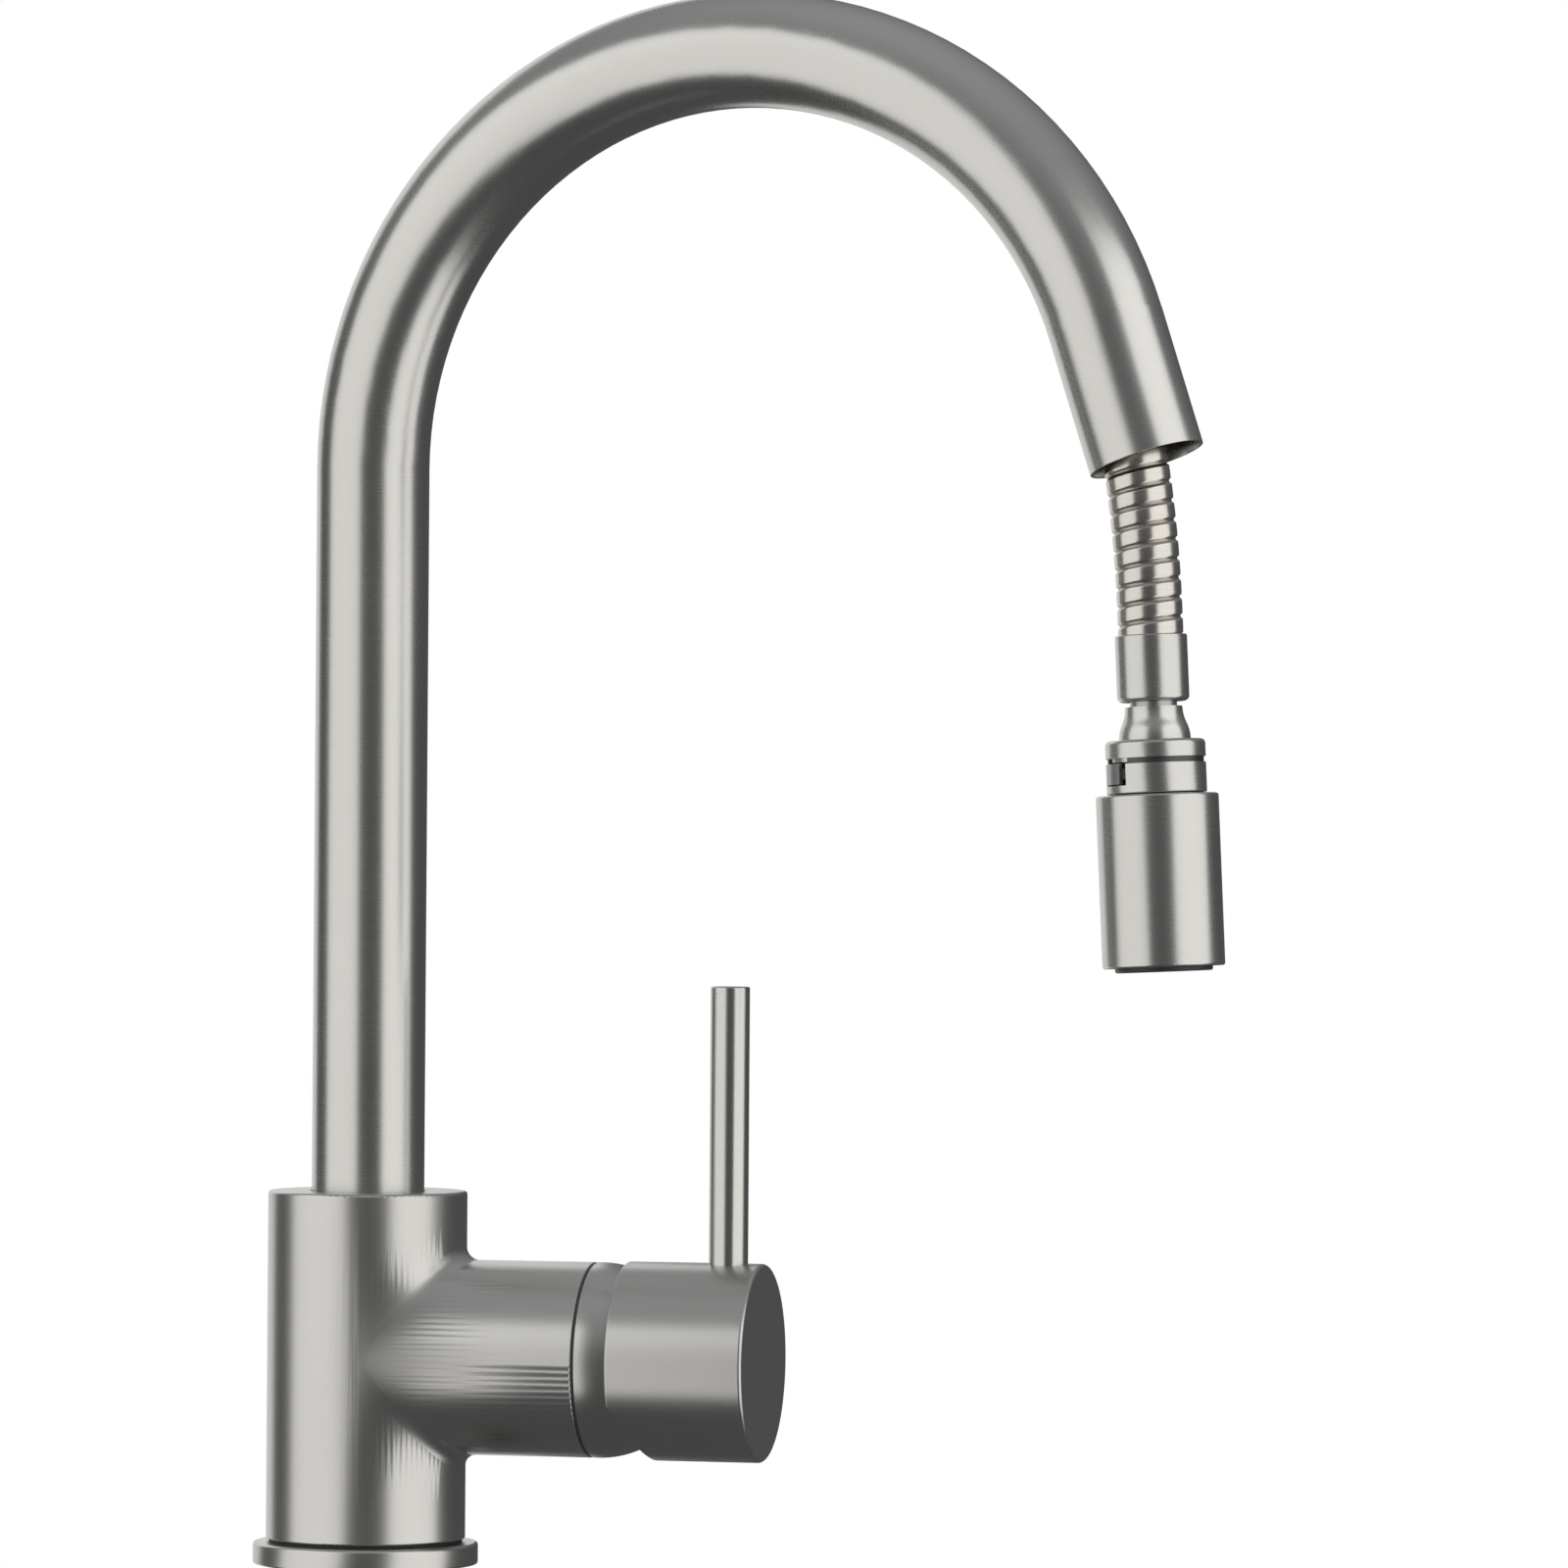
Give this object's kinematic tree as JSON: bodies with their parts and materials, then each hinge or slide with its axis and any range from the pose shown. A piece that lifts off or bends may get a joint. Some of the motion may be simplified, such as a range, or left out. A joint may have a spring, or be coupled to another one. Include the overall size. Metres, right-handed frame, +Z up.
{
  "type": "pull down kitchen faucet",
  "caption": "Pull down kitchen faucet with a swivelling gooseneck spout, a spray head on a strip wound hose, a side lever cap with a thin rod, and a threaded shank with lock nut.",
  "frame": {"origin": "centre of the deck seat, under the base flange", "axes": "+Z up along the body and the spout's swivel axis; +X is the way the spout reaches at rest; the side arm lies 11 degrees counterclockwise of it, seen from above"},
  "size_m": [0.2366, 0.0661, 0.4335],
  "materials": {
    "brushed_steel": "satin brushed stainless steel",
    "rod_steel": "fine turned stainless steel",
    "hose_steel": "strip wound stainless steel hose",
    "fastener_steel": "plain steel",
    "brass": "turned brass",
    "black_rubber": "matt",
    "black_plastic": "matt",
    "white_plastic": "matt",
    "ceramic": "polished alumina ceramic",
    "red_plastic": "matt"
  },
  "bodies": {
    "base": {"base_flange": "brushed_steel", "deck_gasket": "black_rubber", "body_seal": "black_rubber", "faucet_body": "brushed_steel", "shank": "brass", "rubber_washer": "black_rubber", "steel_washer": "fastener_steel", "lock_nut": "brass", "lock_nut_screws": "fastener_steel", "thrust_washer": "white_plastic", "spout_screw": "fastener_steel", "hose_lower": "hose_steel", "hose_connector": "white_plastic", "port_seals": "black_rubber", "cartridge_base": "white_plastic", "fixed_disc": "ceramic", "cartridge_housing": "white_plastic", "cartridge_nut": "brass", "hot_limit_ring": "red_plastic", "cover_seal": "black_rubber", "cartridge_cover": "brushed_steel"},
    "spout": {"spout_tube": "brushed_steel", "spout_tail": "brass", "slip_rings": "white_plastic", "spout_o_rings": "black_rubber", "hose_guide_bush": "black_plastic"},
    "hose_end": {"spray_hose": "hose_steel", "hose_ferrule": "brushed_steel", "swivel_stem": "fastener_steel", "swivel_o_ring": "black_rubber"},
    "head": {"swivel_neck": "brushed_steel", "check_valve": "white_plastic", "head_core": "black_plastic", "head_collar": "brushed_steel", "collar_ring": "fastener_steel", "flow_regulator": "white_plastic", "aerator_housing": "black_plastic", "aerator_insert": "fastener_steel", "latch_spring": "fastener_steel"},
    "latch": {"latch_tab": "fastener_steel"},
    "sleeve": {"spray_sleeve": "brushed_steel", "diverter_ring": "white_plastic"},
    "guide": {"stem_guide": "black_plastic", "stem_pin": "fastener_steel"},
    "disc": {"moving_disc": "ceramic", "disc_carrier": "white_plastic"},
    "lever": {"lever_stem": "brass", "lever_cap": "brushed_steel", "lever_rod": "rod_steel", "cap_screw": "fastener_steel"}
  },
  "joints": [
    {"name": "spout_swivel", "type": "hinge", "parent": "base", "child": "spout", "pos_m": [0, 0, 0.073], "axis": [0, 0, 1], "range_deg": [-180, 180]},
    {"name": "hose_pull", "type": "hinge", "parent": "spout", "child": "hose_end", "pos_m": [-0.07867, 0, 0.20607], "axis": [0, 1, 0], "range_deg": [-15.47, 6], "deforming": ["spray_hose"]},
    {"name": "head_spin", "type": "hinge", "parent": "hose_end", "child": "head", "pos_m": [0.1944, 0, 0.19313], "axis": [-0.0494, 0, 0.9988], "continuous": true},
    {"name": "mode_twist", "type": "hinge", "parent": "head", "child": "sleeve", "pos_m": [0.19564, 0, 0.16816], "axis": [-0.0494, 0, 0.9988], "range_deg": [0, 60]},
    {"name": "latch_press", "type": "slide", "parent": "head", "child": "latch", "axis": [0.642, 0.766, 0.0317], "range_m": [0, 0.0008], "stiffness_N_per_m": 400, "springref_m": -0.001, "deforming": ["latch_spring"]},
    {"name": "lever_turn", "type": "hinge", "parent": "base", "child": "guide", "pos_m": [0.04908, 0.00954, 0.048], "axis": [0.9816, 0.1908, 0], "range_deg": [-45, 45]},
    {"name": "lever_lift", "type": "hinge", "parent": "guide", "child": "lever", "pos_m": [0.05497, 0.01069, 0.048], "axis": [-0.1908, 0.9816, 0], "range_deg": [0, 24]},
    {"name": "disc_slide", "type": "slide", "parent": "guide", "child": "disc", "axis": [0, 0, 1], "range_m": [0, 0.0043]}
  ],
  "couplings": [
    {"joint": "disc_slide", "follows": "lever_lift", "m_per_rad": 0.01}
  ]
}
